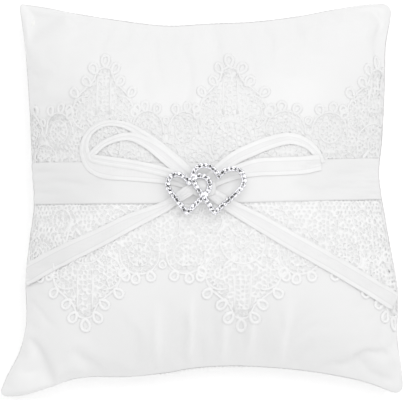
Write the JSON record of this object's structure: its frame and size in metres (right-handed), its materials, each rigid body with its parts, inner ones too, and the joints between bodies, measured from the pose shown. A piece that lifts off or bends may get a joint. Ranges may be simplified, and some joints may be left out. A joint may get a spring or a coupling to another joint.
{
  "type": "ring bearer pillow",
  "caption": "Small square satin cushion with a scalloped lace band, a satin band, a sheer ribbon bow and a linked heart buckle set with stones, for carrying wedding rings.",
  "frame": {"origin": "on the table under the middle of the pillow, which lies on its back", "axes": "+Z out of the decorated front face, +Y towards the upper edge, +X towards the right side as seen from the front"},
  "size_m": [0.2126, 0.2067, 0.0695],
  "materials": {
    "cover_satin": "smooth white satin with a soft sheen",
    "polyester_fiber": "loose white fibre",
    "sewing_thread": "twisted white thread",
    "lace": "matte white embroidered cord lace",
    "ribbon_satin": "white satin ribbon with woven edges",
    "sheer_ribbon": "sheer white organza with satin edges",
    "silver_plating": "bright silver plating",
    "rhinestone": "clear faceted stones with mirror backs"
  },
  "bodies": {
    "root": {"front_panel": "cover_satin", "back_panel": "cover_satin", "fiber_filling": "polyester_fiber", "edge_seam_thread": "sewing_thread", "closing_stitches": "sewing_thread", "lace_band": "lace", "satin_band": "ribbon_satin", "ribbon_tail_left": "sheer_ribbon", "ribbon_tail_right": "sheer_ribbon", "bow_loop_left_outer": "sheer_ribbon", "bow_loop_left_inner": "sheer_ribbon", "bow_loop_right_outer": "sheer_ribbon", "bow_loop_right_inner": "sheer_ribbon", "bow_knot": "sheer_ribbon", "bow_tack_thread": "sewing_thread", "heart_frame_left": "silver_plating", "heart_frame_right": "silver_plating", "heart_stones_left": "rhinestone", "heart_stones_right": "rhinestone"}
  },
  "joints": []
}
